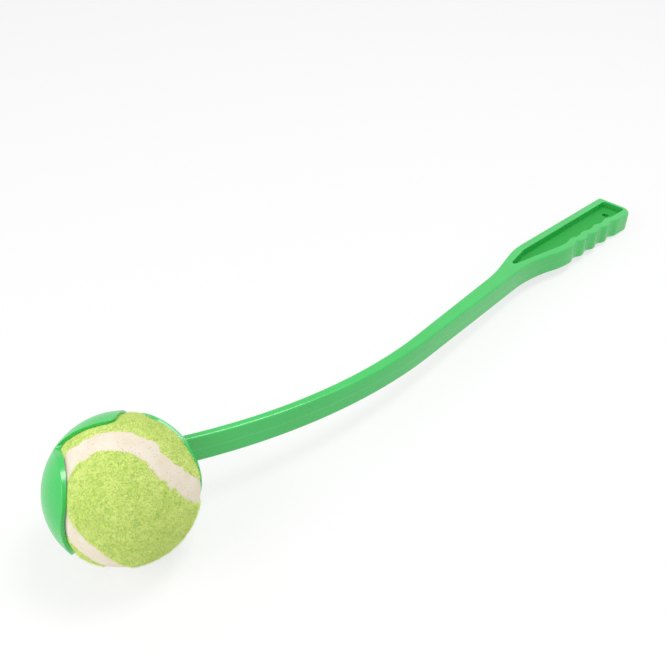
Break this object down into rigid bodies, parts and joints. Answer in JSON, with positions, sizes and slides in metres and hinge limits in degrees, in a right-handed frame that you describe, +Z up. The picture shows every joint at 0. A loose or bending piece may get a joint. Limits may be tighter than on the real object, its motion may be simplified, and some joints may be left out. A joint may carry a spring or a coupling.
{
  "type": "dog ball launcher",
  "caption": "Dog ball launcher: a springy moulded shaft with a petalled cup that grips a felt ball, and a cored handle with finger ridges and a hang hole.",
  "frame": {"origin": "on the surface that the launcher lies on, below the middle of its box", "axes": "+X along the launcher from the cup to the handle, +Y towards the closed back of the cup, +Z up"},
  "size_m": [0.4265, 0.0644, 0.064],
  "materials": {
    "green_plastic": "bright green injection-moulded plastic, satin gloss, faint parting line",
    "core_rubber": "dark moulded rubber",
    "core_cement": "thin layer of rubber cement",
    "ball_felt": "yellow-green needled felt with a short fuzzy nap",
    "seam_cement": "off-white matt rubber cement with fine specks"
  },
  "bodies": {
    "launcher": {"launcher": "green_plastic"},
    "ball": {"core_half_upper": "core_rubber", "core_half_lower": "core_rubber", "core_cement_ring": "core_cement", "felt_panel_upper": "ball_felt", "felt_panel_lower": "ball_felt", "seam_cement": "seam_cement"}
  },
  "joints": [
    {"name": "ball_release", "type": "slide", "parent": "launcher", "child": "ball", "axis": [-0.2208, -0.9752, 0.0146], "range_m": [0, 0.08], "deforming": ["felt_panel_upper", "felt_panel_lower", "seam_cement"]}
  ]
}
